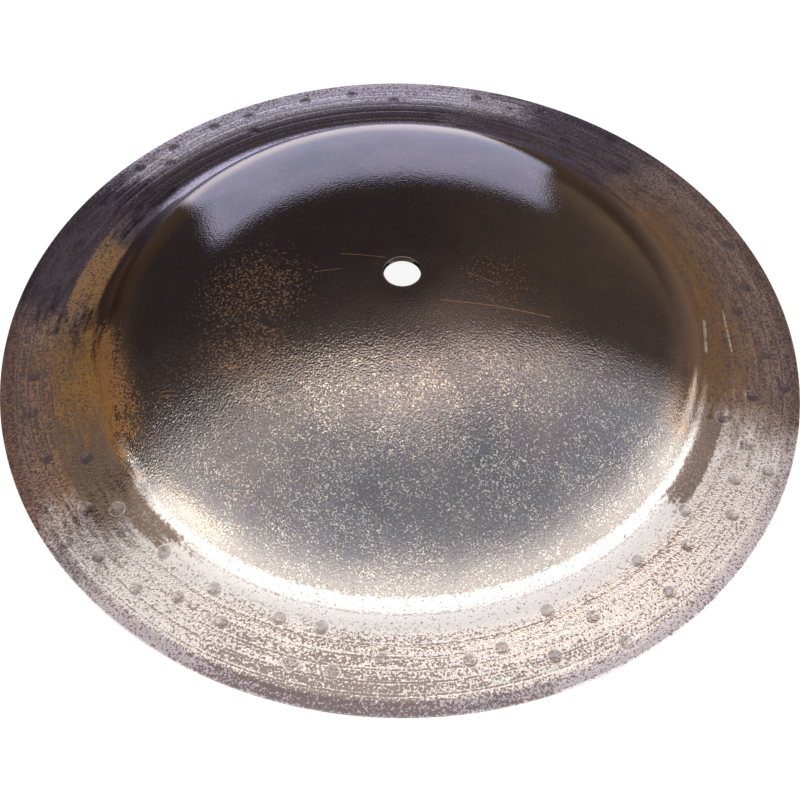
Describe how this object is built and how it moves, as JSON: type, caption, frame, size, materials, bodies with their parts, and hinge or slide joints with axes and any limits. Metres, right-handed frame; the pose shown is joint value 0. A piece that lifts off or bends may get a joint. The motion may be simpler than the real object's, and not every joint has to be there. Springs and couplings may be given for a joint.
{
  "type": "bell cymbal",
  "caption": "Round bronze cymbal that is almost all bell: a wide low dome with a hole at its crown, a smooth valley and a narrow, grooved and hammered flange that slopes to a thin rim.",
  "frame": {"origin": "on the bell's axis, in the plane that the rim rests on", "axes": "+Z along the bell's axis, from the rim up through the crown; the cymbal is round, so X and Y are free, and -Y is the side that the picture looks from"},
  "size_m": [0.3048, 0.3048, 0.0544],
  "materials": {
    "bronze": "cast bell bronze, raw and darkened: turned tone grooves and hammer marks on the flange, pebbled satin dome"
  },
  "bodies": {
    "root": {"cymbal_plate": "bronze"}
  },
  "joints": []
}
